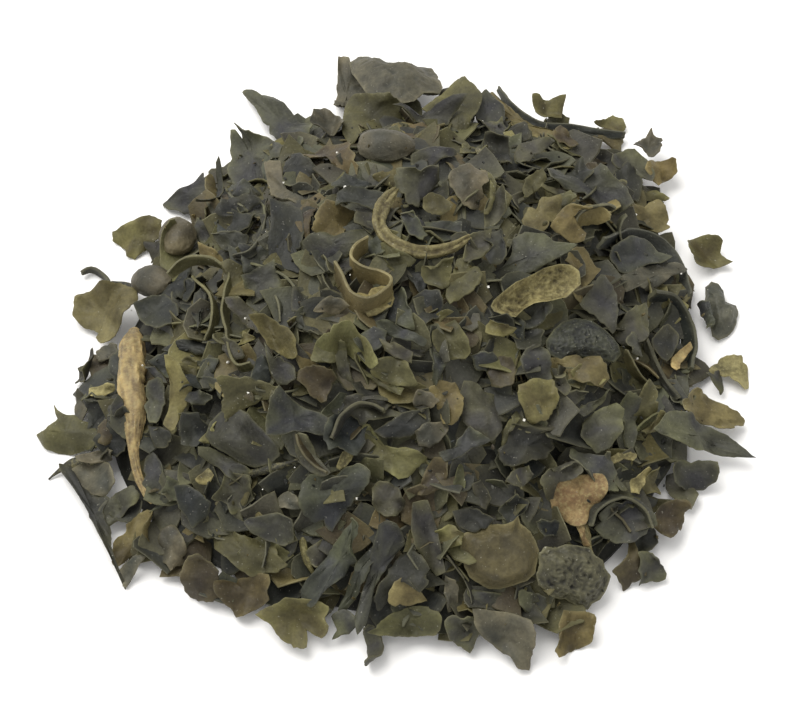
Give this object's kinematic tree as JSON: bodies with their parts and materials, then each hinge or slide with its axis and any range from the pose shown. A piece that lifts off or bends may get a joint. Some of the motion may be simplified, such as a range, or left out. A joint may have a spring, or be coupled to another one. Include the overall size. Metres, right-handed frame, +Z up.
{
  "type": "dried seaweed heap",
  "caption": "Low round heap of dried dark olive seaweed flakes with curled ribbons, air bladders and midribs, flat underneath.",
  "frame": {"origin": "middle of the flat underside, on the surface the heap lies on", "axes": "+Z up out of the heap, +X to the right and +Y to the back as the heap is seen from the front"},
  "size_m": [0.1424, 0.1421, 0.0339],
  "materials": {
    "frond": "matte",
    "frond_olive": "matte",
    "frond_brown": "matte",
    "bladder": "satin",
    "midrib": "matte",
    "receptacle": "matte",
    "sea_salt": "matte"
  },
  "bodies": {
    "root": {"seaweed_heap": "frond"}
  },
  "joints": []
}
